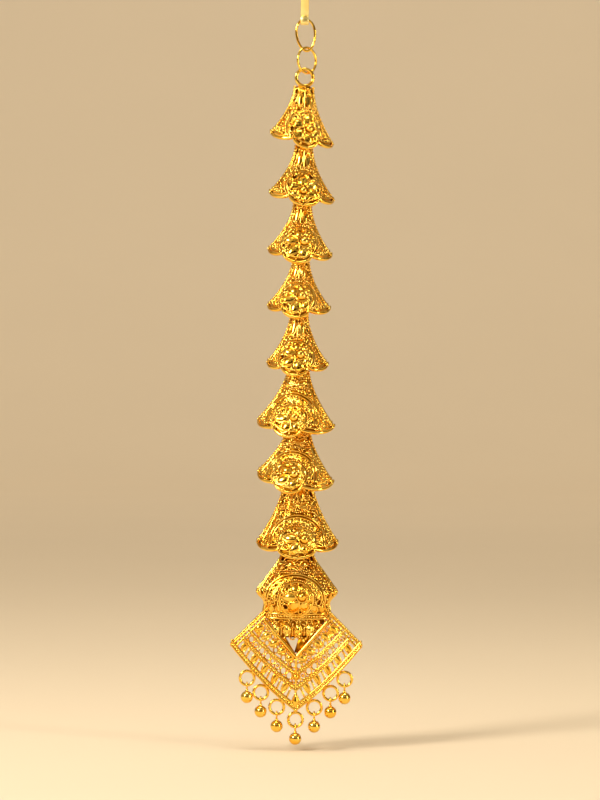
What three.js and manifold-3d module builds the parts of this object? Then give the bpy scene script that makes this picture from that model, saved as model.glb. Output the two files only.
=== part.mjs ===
// A maang tikka of gold: a hair hook, two links, eight open half bells hung one under another,
// and a pendant with seven ball drops.
// Millimetres. -Y is the front, +X is on the right of someone who faces it, and +Z is up.
// The origin is the inside of the hook's bend, where the whole piece hangs.

import * as THREE from 'three';
import { mergeVertices } from 'three/addons/utils/BufferGeometryUtils.js';
import Module from 'manifold-3d';

const wasm = await Module();
wasm.setup();

// Wire work. Every ring's radius is to the middle of its wire.
const WIRE = 0.5;
const SLACK = 0.15; // space between two wires that hang on each other
const EYE_RADIUS = 0.75;
const RING_RADIUS = 1.1;
const EYE_SINK = 0.4; // how deep an eye is soldered into the metal that carries it
const WIRE_SIDES = 6;
const RING_STEPS = 12;
const EYE_STEPS = 10;

// Hair hook: a flat strip bent over at the top, with a folded eyelet at the bottom.
const STRIP_WIDTH = 1.7;
const STRIP_THICKNESS = 0.4;
const HOOK_INSIDE_RADIUS = 2.6;
const HOOK_STRAIGHT_END = -6.5; // z where the shank starts to lean back under the bend
const HOOK_TAIL_END = -9.5;
const HOOK_TAIL_SPREAD = 0.7; // how far the tail's end stands away
const EYELET_Z = -12.67;
const EYELET_HOLE_RADIUS = 0.42;
const EYELET_HALF_STRAIGHT = 0.16; // half the straight part of the eyelet's long hole
const BEND_STEPS = 10;
const EYELET_STEPS = 6; // to each half turn

// Links between the hook and the first bell.
const LINK_WIRE = 0.52;
const LONG_LINK = { width: 4.3, height: 7.0, taper: 0.14, roll: -5, yaw: 4, topWireZ: -12.48 };
const ROUND_LINK = { radius: 2.6, yaw: 45 };
const LINK_STEPS = 20;
const BAIL_WIRE = 0.75;
const BAIL_RADIUS = 1.73;
const BAIL_SINK = 0.3;
const BAIL_STEPS = 16;

// Bells. Their flat back faces +Y, and their eyes lie in the plane y = 0 of their own frame.
const WALL = 0.5;
const BACK_Y = 0.5;
const DEPTH_SHARE = 0.8; // how far a bell stands forward, as a share of its half width
const CENTRE_LOBE_DROP = 1.8;
const SIDE_LOBE_DROP = 0.9;
const LOBE_STEPS = 4;
const NOTCH_RISE = 1.6; // the back plate is cut away this high over the tips, to house the eye
const NOTCH_HALF_WIDTH = 2.4;
const NOTCH_TOP_SHARE = 0.7; // how wide the notch is at its top, as a share
const OUTER_ROWS = [0, 0.35, 0.7, 0.9, 1];
const INNER_ROWS = [0.3, 0.65, 1];

// x: where the top eye hangs. width: from tip to tip. height: from the neck's top to the tips.
// flare: how late the side spreads. dip: how much lower the rim runs in front. lobe: half the angle
// of the middle lobe. yaw, roll, slant in degrees: turned to +X, leaning, and rim off level.
const BELLS = [
  {
    name: 'bell_1', x: 0.2, width: 12.9, height: 10.1, neck: 3.8,
    flare: 1.75, dip: 0.9, lobe: 23, yaw: 10, roll: 2, slant: 7,
  },
  {
    name: 'bell_2', x: 0.3, width: 13.2, height: 9.8, neck: 3.3,
    flare: 1.75, dip: 0.8, lobe: 28, yaw: 7, roll: 2, slant: 4,
  },
  {
    name: 'bell_3', x: -0.1, width: 13.0, height: 9.5, neck: 3.4,
    flare: 1.75, dip: 1.0, lobe: 28, yaw: -7, roll: 2, slant: 4,
  },
  {
    name: 'bell_4', x: -0.3, width: 12.8, height: 9.2, neck: 3.2,
    flare: 1.75, dip: 1.0, lobe: 26, yaw: -9, roll: 1.5, slant: 2,
  },
  {
    name: 'bell_5', x: -0.5, width: 12.4, height: 9.6, neck: 3.4,
    flare: 1.75, dip: 1.2, lobe: 27, yaw: -8, roll: 1, slant: 1.5,
  },
  {
    name: 'bell_6', x: -0.5, width: 16.2, height: 10.2, neck: 4.4,
    flare: 1.5, dip: 1.5, lobe: 21, yaw: -18, roll: 1.5, slant: 4,
  },
  {
    name: 'bell_7', x: -0.3, width: 15.9, height: 9.0, neck: 4.8,
    flare: 1.5, dip: 1.9, lobe: 22, yaw: -16, roll: 2.5, slant: 6,
  },
  {
    name: 'bell_8', x: -0.2, width: 16.4, height: 11.4, neck: 5.8,
    flare: 1.5, dip: 1.75, lobe: 28, yaw: -1, roll: 0, slant: 0,
  },
];

// Pendant, in a frame of its own with its top eye at the origin.
const PENDANT_X = -0.15;
// The dome's sections, downwards from the neck's top.
const DOME = [
  { below: 0, halfWidth: 2.8, depth: 1.6 },
  { below: 2.2, halfWidth: 3.7, depth: 2.4 },
  { below: 4.9, halfWidth: 5.6, depth: 3.8 },
  { below: 7.3, halfWidth: 7.3, depth: 4.9 },
  { below: 8.6, halfWidth: 8.2, depth: 5.3 },
  { below: 10.7, halfWidth: 6.7, depth: 5.2 },
  { below: 12.9, halfWidth: 6.9, depth: 3.4 },
  { below: 14.2, halfWidth: 7.0, depth: 2.7 },
];
const DOME_BACK_SHARE = 0.82; // the back plate ends at this share of the front, so the hollow is open
const DOME_BACK_PLACES = [0.6, 0.3, 0, -0.3, -0.6]; // across the back, as shares of the half width
const DOME_STOP = 30; // the angle round the dome that divides its front
const KITE_THICKNESS = 1.2;
const KITE_RIDGE = 1.2; // how far the kite's middle stands forward of its corners
const KITE_TOP = 12.9;
const KITE_TOP_HALF_WIDTH = 7.0;
const KITE_CORNER_X = 13.6;
const KITE_CORNER = 19.6;
const KITE_TIP = 33.1;
const LOWER_EDGE_BOW = 0.95; // how far the lower edges bow out
const UPPER_EDGE_HOLLOW = 0.4; // how far the upper edges bow in
const EDGE_STEPS = 6;
const MIDDLE_OVERLAP = 0.05; // how far each half of the kite reaches past the middle
// Bands of windows along the kite's lower edges, from the outermost in: where each band's two sides
// meet the middle line, how many windows one side has, and the x of the first and the last.
const WINDOW_BANDS = [
  { outer: 31.6, inner: 28.9, windows: 4, from: 1.6, to: 11.2 },
  { outer: 28.1, inner: 25.9, windows: 4, from: 1.3, to: 9.8 },
  { outer: 25.2, inner: 22.7, windows: 3, from: 1.2, to: 8.0 },
];
const WINDOW_BAR = 0.7;
const MIDDLE_WINDOW = { top: 16.4, bottom: 21.0, halfWidth: 2.4 };
const DROP_RING_RADIUS = 1.5;
const DROP_RING_WIRE = 0.52;
const DROP_RING_STAND = 1.75; // from the kite's edge to a ring's middle
const SOLDER_RADIUS = 0.42;
const DROP_RING_PLACES = [-8.75, -5.9, -2.6, 0, 2.6, 5.9, 8.75]; // x along the kite's lower edges

// Ball drops.
const DROP_WIRE = 0.36;
const DROP_EYE_RADIUS = 0.62;
const DROP_SLACK = 0.1;
const SHANK_RADIUS = 0.22;
const SHANK_SIDES = 6;
const BALL_SIDES = 10;
const BALL_RINGS = 7;
const BALL_RADIUS = 1.27;
const BALL_BELOW_RING_WIRE = 2.45;

const GOLD = { filigree: 0xe9b636, wire: 0xf0c34e, strip: 0xf4df92 };
const POLISH = { roughness: 0.25, metalness: 1 };

const SAME_POINT = 1e-4; // corners nearer than this are one

const radians = THREE.MathUtils.degToRad;

function solidOf(geometry) {
  const bare = geometry.index ? geometry.toNonIndexed() : geometry.clone();
  bare.deleteAttribute('normal');
  bare.deleteAttribute('uv');
  const merged = mergeVertices(bare, SAME_POINT);
  return new wasm.Manifold(new wasm.Mesh({
    numProp: 3,
    vertProperties: Float32Array.from(merged.attributes.position.array),
    triVerts: Uint32Array.from(merged.index.array),
  }));
}

function geometryOf(solid) {
  const mesh = solid.getMesh();
  const geometry = new THREE.BufferGeometry();
  geometry.setAttribute('position', new THREE.BufferAttribute(mesh.vertProperties, 3));
  geometry.setIndex(new THREE.BufferAttribute(mesh.triVerts, 1));
  geometry.computeVertexNormals();
  return geometry;
}

const joined = (parts) => geometryOf(parts.map(solidOf).reduce((whole, part) => whole.add(part)));

// A ring in the x-z plane, which faces the front.
function frontRing(radius, wire, steps) {
  return new THREE.TorusGeometry(radius, wire / 2, WIRE_SIDES, steps).rotateX(Math.PI / 2);
}

// A ring in the y-z plane, which is seen edge on from the front.
function sideRing(radius, wire, steps) {
  return new THREE.TorusGeometry(radius, wire / 2, WIRE_SIDES, steps).rotateY(Math.PI / 2);
}

function meshOf(name, geometry, colour) {
  const material = new THREE.MeshStandardMaterial({ color: colour, ...POLISH });
  const mesh = new THREE.Mesh(geometry, material);
  mesh.name = name;
  return mesh;
}

// Yaw turns a piece about its own upright axis, then roll leans it to one side.
function turn(mesh, yaw, roll) {
  mesh.rotation.set(0, radians(roll), radians(yaw), 'YZX');
  return mesh;
}

// A closed shell between an outer and an inner stack of loops, open at the last loop of each.
// The loops have the same number of points and run counter-clockwise seen from above.
function shellOf(outer, inner) {
  const count = outer[0].length;
  const points = [...outer, ...inner].flat();
  const faces = [];
  const wall = (upper, lower, outwards) => {
    for (let i = 0; i < count; i += 1) {
      const next = (i + 1) % count;
      const corners = [upper + i, lower + i, lower + next, upper + next];
      if (!outwards) corners.reverse();
      faces.push(corners[0], corners[1], corners[2], corners[0], corners[2], corners[3]);
    }
  };
  const cap = (start, upwards) => {
    for (let i = 1; i < count - 1; i += 1) {
      faces.push(start, start + i + (upwards ? 0 : 1), start + i + (upwards ? 1 : 0));
    }
  };
  const innerStart = outer.length * count;
  const innerEnd = innerStart + (inner.length - 1) * count;
  for (let row = 1; row < outer.length; row += 1) wall((row - 1) * count, row * count, true);
  for (let start = innerStart; start < innerEnd; start += count) wall(start, start + count, false);
  wall(innerStart - count, innerEnd, true);
  cap(0, true);
  cap(innerStart, false);
  const geometry = new THREE.BufferGeometry();
  const flat = points.flatMap((point) => point.toArray());
  geometry.setAttribute('position', new THREE.Float32BufferAttribute(flat, 3));
  geometry.setIndex(faces);
  return geometry;
}

// --- Bells -----------------------------------------------------------------------------------

const NECK_TOP = EYE_SINK - EYE_RADIUS - WIRE / 2; // z of a neck's top under its eye's middle

// The angles round the front, in degrees from -90 to 90, with a stop at each cusp of the rim.
function rimAngles(lobe) {
  const stops = [-90, -lobe, lobe, 90];
  const angles = [-90];
  for (let part = 1; part < stops.length; part += 1) {
    for (let step = 1; step <= LOBE_STEPS; step += 1) {
      angles.push(stops[part - 1] + ((stops[part] - stops[part - 1]) * step) / LOBE_STEPS);
    }
  }
  return angles;
}

// How far the rim hangs below the level of the two tips.
function rimDrop(bell, angle) {
  const away = Math.abs(angle);
  const inMiddle = away < bell.lobe;
  const along = inMiddle ? away / bell.lobe : (away - bell.lobe) / (90 - bell.lobe);
  const lobe = inMiddle
    ? CENTRE_LOBE_DROP * Math.sqrt(Math.max(0, 1 - along * along))
    : SIDE_LOBE_DROP * Math.sqrt(Math.max(0, Math.sin(Math.PI * along)));
  return bell.dip * Math.cos(radians(angle)) + lobe;
}

// A point on a D-shaped section, which is flat behind. The inner face is the wall's thickness in.
function sectionPoint(half, depth, angle, inset, z) {
  const x = (half - inset) * Math.sin(radians(angle));
  const y = BACK_Y - inset - (depth - 2 * inset) * Math.cos(radians(angle));
  return new THREE.Vector3(x, y, z);
}

// One loop of a bell, round its front and back along its flat plate. down goes from 0 at the neck's
// top to 1 at the rim.
function bellLoop(bell, down, inset) {
  const rimHalf = bell.width / 2;
  const half = bell.neck / 2 + (rimHalf - bell.neck / 2) * down ** bell.flare;
  const slope = Math.tan(radians(bell.slant));
  const heightAt = (rimX, drop) => NECK_TOP - down * (bell.height + drop + slope * rimX);
  const front = rimAngles(bell.lobe).map((angle) => {
    const z = heightAt(rimHalf * Math.sin(radians(angle)), rimDrop(bell, angle));
    return sectionPoint(half, DEPTH_SHARE * half, angle, inset, z);
  });
  const notchTop = NOTCH_TOP_SHARE * NOTCH_HALF_WIDTH;
  const back = [NOTCH_HALF_WIDTH, notchTop, 0, -notchTop, -NOTCH_HALF_WIDTH].map((rimX) => {
    const rise = Math.abs(rimX) > notchTop ? 0 : NOTCH_RISE;
    const x = (rimX / rimHalf) * (half - inset);
    return new THREE.Vector3(x, BACK_Y - inset, heightAt(rimX, -rise));
  });
  return [...front, ...back];
}

const lowerEyeZ = (bell) => NECK_TOP - bell.height + NOTCH_RISE + NECK_TOP;

function bellGeometry(bell, topRing) {
  const shell = shellOf(
    OUTER_ROWS.map((down) => bellLoop(bell, down, 0)),
    INNER_ROWS.map((down) => bellLoop(bell, down, WALL)),
  );
  const lowerEye = frontRing(EYE_RADIUS, WIRE, EYE_STEPS).translate(0, 0, lowerEyeZ(bell));
  return joined([shell, topRing, lowerEye]);
}

// --- Pendant ---------------------------------------------------------------------------------

function domeLoop(row, inset) {
  const front = rimAngles(DOME_STOP).map((angle) =>
    sectionPoint(row.halfWidth, row.depth, angle, inset, NECK_TOP - row.below));
  const back = DOME_BACK_PLACES.map((share) => {
    const z = NECK_TOP - row.below * DOME_BACK_SHARE;
    return new THREE.Vector3(share * (row.halfWidth - inset), BACK_Y - inset, z);
  });
  return [...front, ...back];
}

function domeGeometry() {
  return shellOf(
    DOME.map((row) => domeLoop(row, 0)),
    DOME.slice(1).map((row) => domeLoop(row, WALL)),
  );
}

// z of a line that runs along a lower edge of the kite and meets its middle at the depth apex.
function alongEdge(apex, x) {
  const share = Math.abs(x) / KITE_CORNER_X;
  const rise = (KITE_TIP - KITE_CORNER) * share - 4 * LOWER_EDGE_BOW * share * (1 - share);
  return NECK_TOP - apex + rise;
}

const kiteMiddleY = (x) =>
  BACK_Y - KITE_THICKNESS / 2 - KITE_RIDGE * (1 - Math.abs(x) / KITE_CORNER_X);

// A window between two lines along the edge, with its ends square to them.
function bandWindow(band, start, end) {
  const lean = (band.outer - band.inner) / 2;
  return [
    [start, alongEdge(band.outer, start)],
    [end, alongEdge(band.outer, end)],
    [end - lean, alongEdge(band.inner, end - lean)],
    [start - lean, alongEdge(band.inner, start - lean)],
  ].map(([x, z]) => [Math.max(x, WINDOW_BAR / 2), z]);
}

function kiteWindows() {
  const windows = [];
  for (const band of WINDOW_BANDS) {
    const pitch = (band.to - band.from) / band.windows;
    for (let i = 0; i < band.windows; i += 1) {
      const start = band.from + i * pitch;
      windows.push(bandWindow(band, start, start + pitch - WINDOW_BAR));
    }
  }
  const { top, bottom, halfWidth } = MIDDLE_WINDOW;
  windows.push([
    [WINDOW_BAR / 2, NECK_TOP - bottom],
    [halfWidth, NECK_TOP - top],
    [WINDOW_BAR / 2, NECK_TOP - top],
  ]);
  return windows;
}

// One half of the kite: side is 1 on the right and -1 on the left. It reaches a little past the
// middle, so that the halves join.
function kiteHalf(side) {
  const at = (x, z) => new THREE.Vector2(side * x, z);
  const outline = [at(-MIDDLE_OVERLAP, NECK_TOP - KITE_TOP), at(KITE_TOP_HALF_WIDTH, NECK_TOP - KITE_TOP)];
  const hollow = [
    (KITE_TOP_HALF_WIDTH + KITE_CORNER_X) / 2 - UPPER_EDGE_HOLLOW,
    NECK_TOP - (KITE_TOP + KITE_CORNER) / 2 - UPPER_EDGE_HOLLOW,
  ];
  outline.push(at(...hollow));
  for (let step = EDGE_STEPS; step > 0; step -= 1) {
    const x = (KITE_CORNER_X * step) / EDGE_STEPS;
    outline.push(at(x, alongEdge(KITE_TIP, x)));
  }
  outline.push(at(-MIDDLE_OVERLAP, alongEdge(KITE_TIP, 0)));
  const shape = new THREE.Shape(outline);
  shape.holes = kiteWindows().map((corners) => new THREE.Path(corners.map(([x, z]) => at(x, z))));
  const plate = new THREE.ExtrudeGeometry(shape, { depth: KITE_THICKNESS, bevelEnabled: false });
  plate.rotateX(Math.PI / 2);
  const position = plate.attributes.position;
  for (let i = 0; i < position.count; i += 1) {
    const forward = KITE_RIDGE * (1 - (side * position.getX(i)) / KITE_CORNER_X);
    position.setY(i, position.getY(i) + BACK_Y - forward);
  }
  return plate;
}

// The middle of the drop ring that is soldered on the kite's edge at x.
function dropRingMiddle(x) {
  const outwards = new THREE.Vector3(Math.sign(x), 0, -1).normalize();
  const edge = new THREE.Vector3(x, kiteMiddleY(x), alongEdge(KITE_TIP, x));
  return { edge, middle: edge.clone().addScaledVector(outwards, DROP_RING_STAND) };
}

function pendantGeometry(topEye) {
  const rings = DROP_RING_PLACES.flatMap((x) => {
    const { edge, middle } = dropRingMiddle(x);
    const ring = frontRing(DROP_RING_RADIUS, DROP_RING_WIRE, RING_STEPS);
    const solder = new THREE.IcosahedronGeometry(SOLDER_RADIUS, 0);
    return [ring.translate(...middle.toArray()), solder.translate(...edge.toArray())];
  });
  return joined([domeGeometry(), kiteHalf(1), kiteHalf(-1), topEye, ...rings]);
}

// A ball drop, with the middle of the wire that it hangs on at the origin.
function dropGeometry() {
  const eyeZ = (DROP_RING_WIRE + DROP_WIRE) / 2 + DROP_SLACK - DROP_EYE_RADIUS;
  const eye = sideRing(DROP_EYE_RADIUS, DROP_WIRE, EYE_STEPS).translate(0, 0, eyeZ);
  const shankTop = eyeZ - DROP_EYE_RADIUS;
  const shankLength = shankTop + BALL_BELOW_RING_WIRE;
  const shank = new THREE.CylinderGeometry(SHANK_RADIUS, SHANK_RADIUS, shankLength, SHANK_SIDES);
  shank.rotateX(Math.PI / 2).translate(0, 0, shankTop - shankLength / 2);
  const ball = new THREE.SphereGeometry(BALL_RADIUS, BALL_SIDES, BALL_RINGS).rotateX(Math.PI / 2);
  return joined([eye, shank, ball.translate(0, 0, -BALL_BELOW_RING_WIRE)]);
}

// --- Hook and links --------------------------------------------------------------------------

// A flat strip along a line of (y, z) points, as wide as the strip in x.
function stripAlong(line) {
  const side = (point, index) => {
    const before = line[Math.max(index - 1, 0)];
    const after = line[Math.min(index + 1, line.length - 1)];
    const along = after.clone().sub(before).normalize();
    return new THREE.Vector2(-along.y, along.x).multiplyScalar(STRIP_THICKNESS / 2);
  };
  const left = line.map((point, index) => point.clone().add(side(point, index)));
  const right = line.map((point, index) => point.clone().sub(side(point, index)));
  return crosswise(new THREE.Shape([...left, ...right.reverse()]));
}

// A y-z shape as a solid, as wide as the strip and centred in x.
function crosswise(shape) {
  const settings = { depth: STRIP_WIDTH, bevelEnabled: false, curveSegments: EYELET_STEPS };
  const solid = new THREE.ExtrudeGeometry(shape, settings);
  return solid.translate(0, 0, -STRIP_WIDTH / 2).rotateY(Math.PI / 2).rotateX(Math.PI / 2);
}

function eyeletRing() {
  const longHole = (PathClass, radius) => {
    const path = new PathClass();
    path.absarc(0, EYELET_Z + EYELET_HALF_STRAIGHT, radius, 0, Math.PI, false);
    path.absarc(0, EYELET_Z - EYELET_HALF_STRAIGHT, radius, Math.PI, 2 * Math.PI, false);
    path.closePath();
    return path;
  };
  const shape = longHole(THREE.Shape, EYELET_HOLE_RADIUS + STRIP_THICKNESS);
  shape.holes = [longHole(THREE.Path, EYELET_HOLE_RADIUS)];
  return crosswise(shape);
}

function hookGeometry() {
  const radius = HOOK_INSIDE_RADIUS + STRIP_THICKNESS / 2;
  const line = [new THREE.Vector2(radius + HOOK_TAIL_SPREAD, HOOK_TAIL_END)];
  for (let step = 0; step <= BEND_STEPS; step += 1) {
    const angle = (Math.PI * step) / BEND_STEPS;
    line.push(new THREE.Vector2(Math.cos(angle), Math.sin(angle)).multiplyScalar(radius));
    line[line.length - 1].y -= HOOK_INSIDE_RADIUS;
  }
  line.push(new THREE.Vector2(-radius, HOOK_STRAIGHT_END));
  const eyeletTop = EYELET_Z + EYELET_HALF_STRAIGHT + EYELET_HOLE_RADIUS;
  line.push(new THREE.Vector2(0, eyeletTop + STRIP_THICKNESS / 2));
  return joined([stripAlong(line), eyeletRing()]);
}

// The long link, wider at the top than at the bottom, with its top wire's middle at the origin.
function longLinkGeometry() {
  const halfWidth = (LONG_LINK.width - LINK_WIRE) / 2;
  const halfHeight = (LONG_LINK.height - LINK_WIRE) / 2;
  const points = [];
  for (let step = 0; step < LINK_STEPS; step += 1) {
    const angle = (2 * Math.PI * step) / LINK_STEPS;
    const x = halfWidth * Math.cos(angle) * (1 + LONG_LINK.taper * Math.sin(angle));
    points.push(new THREE.Vector3(x, 0, halfHeight * (Math.sin(angle) - 1)));
  }
  const curve = new THREE.CatmullRomCurve3(points, true);
  const tube = new THREE.TubeGeometry(curve, LINK_STEPS, LINK_WIRE / 2, WIRE_SIDES, true);
  return geometryOf(solidOf(tube));
}

// --- The whole piece, hung from the top down -------------------------------------------------

const tikka = new THREE.Group();

tikka.add(meshOf('hair_hook', hookGeometry(), GOLD.strip));

const longLink = turn(meshOf('long_link', longLinkGeometry(), GOLD.wire), LONG_LINK.yaw, LONG_LINK.roll);
longLink.position.z = LONG_LINK.topWireZ;
tikka.add(longLink);

const longLinkDrop = LONG_LINK.height - LINK_WIRE;
const longLinkLean = radians(LONG_LINK.roll);
const roundLinkTopZ = LONG_LINK.topWireZ - longLinkDrop * Math.cos(longLinkLean) + LINK_WIRE + SLACK;
const roundLinkX = -longLinkDrop * Math.sin(longLinkLean);
const roundLink = meshOf('round_link', frontRing(ROUND_LINK.radius, LINK_WIRE, LINK_STEPS), GOLD.wire);
turn(roundLink, ROUND_LINK.yaw, 0).position.set(roundLinkX, 0, roundLinkTopZ - ROUND_LINK.radius);
tikka.add(roundLink);

const bailTopZ = roundLinkTopZ - 2 * ROUND_LINK.radius + (LINK_WIRE + BAIL_WIRE) / 2 + SLACK;
const bailAboveEye = NECK_TOP + BAIL_RADIUS + BAIL_WIRE / 2 - BAIL_SINK;
const bail = frontRing(BAIL_RADIUS, BAIL_WIRE, BAIL_STEPS).translate(0, 0, bailAboveEye);
const topEye = frontRing(EYE_RADIUS, WIRE, EYE_STEPS);

// The middles of two linked eyes are this far apart, with a jump ring through both.
const EYE_TO_EYE = 2 * (RING_RADIUS + EYE_RADIUS - WIRE - SLACK);

const hang = new THREE.Vector3(BELLS[0].x, 0, bailTopZ - BAIL_RADIUS - bailAboveEye);
const below = [...BELLS.slice(1), { x: PENDANT_X, yaw: 0 }];
BELLS.forEach((bell, index) => {
  const mesh = meshOf(bell.name, bellGeometry(bell, index ? topEye : bail), GOLD.filigree);
  turn(mesh, bell.yaw, bell.roll).position.copy(hang);
  mesh.updateMatrix();
  tikka.add(mesh);
  const eye = new THREE.Vector3(0, 0, lowerEyeZ(bell)).applyMatrix4(mesh.matrix);
  hang.set(below[index].x, 0, eye.z - EYE_TO_EYE);
  const ring = meshOf(`ring_${index + 1}`, sideRing(RING_RADIUS, WIRE, RING_STEPS), GOLD.wire);
  const lean = THREE.MathUtils.radToDeg(Math.atan2(eye.x - hang.x, eye.z - hang.z));
  turn(ring, (bell.yaw + below[index].yaw) / 2, lean);
  ring.position.copy(eye).add(hang).multiplyScalar(0.5);
  tikka.add(ring);
});

const pendant = new THREE.Group();
pendant.position.copy(hang);
pendant.add(meshOf('pendant', pendantGeometry(topEye), GOLD.filigree));
DROP_RING_PLACES.forEach((x, index) => {
  const drop = meshOf(`drop_${index + 1}`, dropGeometry(), GOLD.wire);
  drop.position.copy(dropRingMiddle(x).middle);
  drop.position.z -= DROP_RING_RADIUS;
  pendant.add(drop);
});
tikka.add(pendant);

export default tikka;
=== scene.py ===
"""A gold maang tikka, hung up: a hair hook, two links, eight filigree half bells and a drop pendant."""

import math

import bpy
import numpy as np
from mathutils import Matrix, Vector


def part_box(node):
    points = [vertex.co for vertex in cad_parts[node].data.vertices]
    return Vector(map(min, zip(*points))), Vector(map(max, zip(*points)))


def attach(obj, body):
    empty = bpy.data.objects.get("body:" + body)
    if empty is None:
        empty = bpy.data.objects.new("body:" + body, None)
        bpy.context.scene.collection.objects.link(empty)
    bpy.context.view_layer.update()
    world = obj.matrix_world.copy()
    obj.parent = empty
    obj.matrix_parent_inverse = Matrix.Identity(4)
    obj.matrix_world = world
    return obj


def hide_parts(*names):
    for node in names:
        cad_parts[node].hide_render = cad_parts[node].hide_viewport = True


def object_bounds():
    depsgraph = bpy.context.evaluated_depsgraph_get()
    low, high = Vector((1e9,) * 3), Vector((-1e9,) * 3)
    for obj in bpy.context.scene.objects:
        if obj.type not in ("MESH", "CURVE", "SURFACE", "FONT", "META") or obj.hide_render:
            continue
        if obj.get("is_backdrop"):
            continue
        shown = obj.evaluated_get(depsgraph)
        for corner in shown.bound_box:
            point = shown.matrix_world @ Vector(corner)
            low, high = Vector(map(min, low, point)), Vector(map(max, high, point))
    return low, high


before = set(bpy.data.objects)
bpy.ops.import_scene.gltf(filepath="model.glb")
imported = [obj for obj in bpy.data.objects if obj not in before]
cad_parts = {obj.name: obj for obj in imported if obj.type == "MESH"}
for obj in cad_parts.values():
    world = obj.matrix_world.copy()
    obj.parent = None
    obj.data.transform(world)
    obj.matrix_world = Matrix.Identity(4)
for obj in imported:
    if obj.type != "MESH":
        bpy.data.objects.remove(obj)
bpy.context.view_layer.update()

MM = 0.001
TAU = 2 * math.pi
CHAIN, PENDANT = "chain", "pendant"

# --- Sizes in millimetres ------------------------------------------------------------------------

BACK_Y = 0.5  # the flat backs face +Y; the eyes lie in the plane y = 0
SHEET_SINK = 0.4  # the sheet lies this far under the cells' edges
SHEET_INSIDE = 0.65  # and its inner face this far
BACK_POINTS = 9  # along the flat back of a loop of the sheet
DEPTH_SHARE = 0.8  # a bell's depth over its half width
NECK_TOP = -0.6  # below the middle of the upper eye
MIDDLE_LOBE = 1.8  # how far the rim's lobes hang
SIDE_LOBE = 0.9
NOTCH_RISE = 1.6  # the notch in a bell's back plate, over its lower eye
NOTCH_HALF_WIDTH = 2.4

EYE_RADIUS = 0.75
EYE_WIRE = 0.25
RING_RADIUS = 1.1
BAIL_RADIUS = 1.73
BAIL_WIRE = 0.375
BAIL_SINK = 0.3
LINK_WIRE = 0.26
ROUND_LINK_RADIUS = 2.6
RING_LEANS = [2.5, -2.3, -3.6, -3.7, -2.6, -1.2, -4.2, 0]  # of ring_1 to ring_8, in degrees

RIM_WIRE = 0.3
SIDE_WIRE = 0.26
SIDE_ANGLE = 88  # how far round the face the wires down its sides lie
ARCH_WIRE = 0.25
OUTER_ARCH_WIRE = 0.2
FINE_WIRE = 0.15
SIDE_BEAD = 0.29
FINE_BEAD = 0.2
CROWN_EDGES = (74, 60)  # how far round the face the two beaded lines over an arch run, in degrees
LEAF_SINK = 0.14  # how far a leaf's skin lies under the wire round it
ROSETTE_SWELL, DOME_ROSETTE_SWELL = 0.8, 0.45  # how far a rosette stands out of the face

# The little cells that fill the rest of a face: upright ovals of wire, and grains between them.
CELL_STRETCH = 1.25  # a cell's height over its width
GRAIN_ROOM = 0.34  # less room than this holds a grain, and more a ring
GRAIN_SINK, GRAIN_SPREAD = 0.1, 0.05  # a grain lies deeper than the rings and fills its room fully
FIELD_ROOM = 2.0  # what a spot starts with, more than any cell takes
# Spots for the cells on a bell or the dome: an angle, and a share of the way down.
FIELD = [(angle, down) for down in np.linspace(0.04, 0.95, 70) for angle in np.linspace(-78, 78, 79)]

# width, height: of a bell without its lobes. neck: its width at the top. flare: how late it widens.
# dip, slant: how the rim runs. lobe: half the angle that the rim's middle lobe takes. yaw, roll: how
# it hangs, in degrees. arch: half width, and height above the rim's bottom, of the arch round the
# rosette; outer_arch: the same of the arch over that. boss: x, height above the rim's bottom, and
# radius. petals, turn: how many leaves the rosette has, and the first one's angle.
BELLS = {
    "bell_1": dict(
        width=12.9, height=10.1, neck=3.8, flare=1.75, dip=0.9, lobe=23, yaw=10, roll=2, slant=7,
        arch=(3.4, 7.3), boss=(0.7, 3.5, 0.78), petals=6, turn=0,
    ),
    "bell_2": dict(
        width=13.2, height=9.8, neck=3.3, flare=1.75, dip=0.8, lobe=28, yaw=7, roll=2, slant=4,
        arch=(3.4, 6.9), boss=(-0.2, 2.5, 0.75), petals=7, turn=0,
    ),
    "bell_3": dict(
        width=13.0, height=9.5, neck=3.4, flare=1.75, dip=1.0, lobe=28, yaw=-7, roll=2, slant=4,
        arch=(3.5, 7.1), boss=(1.1, 4.0, 0.92), petals=7, turn=20,
    ),
    "bell_4": dict(
        width=12.8, height=9.2, neck=3.2, flare=1.75, dip=1.0, lobe=26, yaw=-9, roll=1.5, slant=2,
        arch=(3.4, 6.9), boss=(1.0, 4.0, 0.9), petals=7, turn=0,
    ),
    "bell_5": dict(
        width=12.4, height=9.6, neck=3.4, flare=1.75, dip=1.2, lobe=27, yaw=-8, roll=1, slant=1.5,
        arch=(3.4, 6.9), boss=(0.95, 3.9, 0.88), petals=7, turn=30,
    ),
    "bell_6": dict(
        width=16.2, height=10.2, neck=4.4, flare=1.5, dip=1.5, lobe=21, yaw=-18, roll=1.5, slant=4,
        arch=(3.3, 6.1), outer_arch=(5.4, 8.9), boss=(1.1, 3.5, 0.85), petals=7, turn=10,
    ),
    "bell_7": dict(
        width=15.9, height=9.0, neck=4.8, flare=1.5, dip=1.9, lobe=22, yaw=-16, roll=2.5, slant=6,
        arch=(3.3, 6.0), outer_arch=(5.3, 8.4), boss=(1.0, 3.4, 0.85), petals=6, turn=0,
    ),
    "bell_8": dict(
        width=16.4, height=11.4, neck=5.8, flare=1.5, dip=1.75, lobe=28, yaw=-1, roll=0, slant=0,
        arch=(3.6, 6.1), outer_arch=(5.7, 8.6), boss=(1.4, 3.45, 0.88), petals=7, turn=20,
    ),
}

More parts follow.
